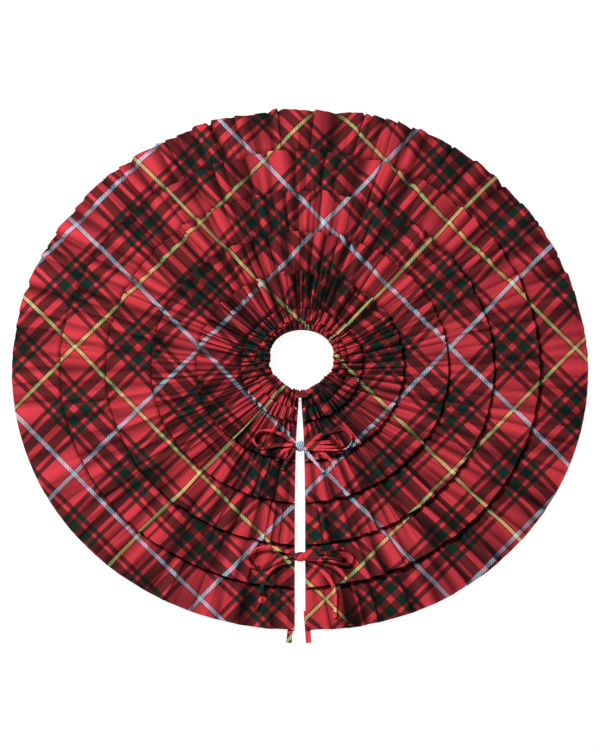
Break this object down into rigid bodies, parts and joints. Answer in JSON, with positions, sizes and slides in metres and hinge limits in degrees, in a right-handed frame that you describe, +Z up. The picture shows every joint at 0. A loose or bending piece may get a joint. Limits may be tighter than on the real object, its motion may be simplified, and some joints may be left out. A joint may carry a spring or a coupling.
{
  "type": "tree skirt",
  "caption": "Round tiered tree skirt in plaid cloth: gathered ruffles on a base cloth, a gathered collar round the trunk hole, and a front slit tied with bows.",
  "frame": {"origin": "on the floor, on the axis of the trunk hole", "axes": "+Z up, the slit faces -Y, +X to the right of someone looking at the slit"},
  "size_m": [1.2192, 1.237, 0.0313],
  "materials": {
    "ruffle_cloth": "red, dark green and maroon plaid twill with lilac and gold overchecks",
    "collar_cloth": "the same plaid twill, tightly gathered",
    "tie_cloth": "narrow strips of the same plaid twill",
    "base_cloth": "plain dark red cotton",
    "binding_cloth": "the plaid twill, folded and topstitched",
    "elastic": "ribbed woven elastic",
    "hook_wire": "nickel-plated wire"
  },
  "bodies": {
    "rear": {"base_rear": "base_cloth", "collar_casing_rear": "collar_cloth", "collar_elastic_rear": "elastic", "collar_frill_rear": "collar_cloth", "tier_1_rear": "ruffle_cloth", "tier_2_rear": "ruffle_cloth", "tier_3_rear": "ruffle_cloth", "tier_4_rear": "ruffle_cloth", "tier_5_rear": "ruffle_cloth"},
    "front_right": {"base_front_right": "base_cloth", "bow_lower_knot": "tie_cloth", "bow_lower_loop_right": "tie_cloth", "bow_lower_small_loop_right": "tie_cloth", "bow_lower_tail_right_a": "tie_cloth", "bow_lower_tail_right_b": "tie_cloth", "bow_upper_knot": "tie_cloth", "bow_upper_loop_right": "tie_cloth", "bow_upper_small_loop_right": "tie_cloth", "bow_upper_tail_right_a": "tie_cloth", "bow_upper_tail_right_b": "tie_cloth", "collar_casing_front_right": "collar_cloth", "collar_elastic_front_right": "elastic", "collar_frill_front_right": "collar_cloth", "collar_hook": "hook_wire", "collar_tab": "collar_cloth", "hem_tie_right": "tie_cloth", "placket_right": "binding_cloth", "tier_1_front_right": "ruffle_cloth", "tier_2_front_right": "ruffle_cloth", "tier_3_front_right": "ruffle_cloth", "tier_4_front_right": "ruffle_cloth", "tier_5_front_right": "ruffle_cloth"},
    "front_left": {"base_front_left": "base_cloth", "bow_lower_loop_left": "tie_cloth", "bow_lower_tail_knot": "tie_cloth", "bow_lower_tail_left": "tie_cloth", "bow_lower_tail_left_end": "tie_cloth", "bow_upper_loop_left": "tie_cloth", "bow_upper_tail_left_a": "tie_cloth", "bow_upper_tail_left_b": "tie_cloth", "collar_casing_front_left": "collar_cloth", "collar_elastic_front_left": "elastic", "collar_eye": "hook_wire", "collar_frill_front_left": "collar_cloth", "hem_tie_left": "tie_cloth", "placket_left": "binding_cloth", "tier_1_front_left": "ruffle_cloth", "tier_2_front_left": "ruffle_cloth", "tier_3_front_left": "ruffle_cloth", "tier_4_front_left": "ruffle_cloth", "tier_5_front_left": "ruffle_cloth"}
  },
  "joints": [
    {"name": "front_right_fold", "type": "hinge", "parent": "rear", "child": "front_right", "pos_m": [0, 0, 0.033], "axis": [-1, 0, 0], "range_deg": [0, 180]},
    {"name": "front_left_fold", "type": "hinge", "parent": "rear", "child": "front_left", "pos_m": [0, 0, 0.033], "axis": [-1, 0, 0], "range_deg": [0, 180]}
  ],
  "couplings": [
    {"joint": "front_left_fold", "follows": "front_right_fold", "ratio": 1}
  ]
}
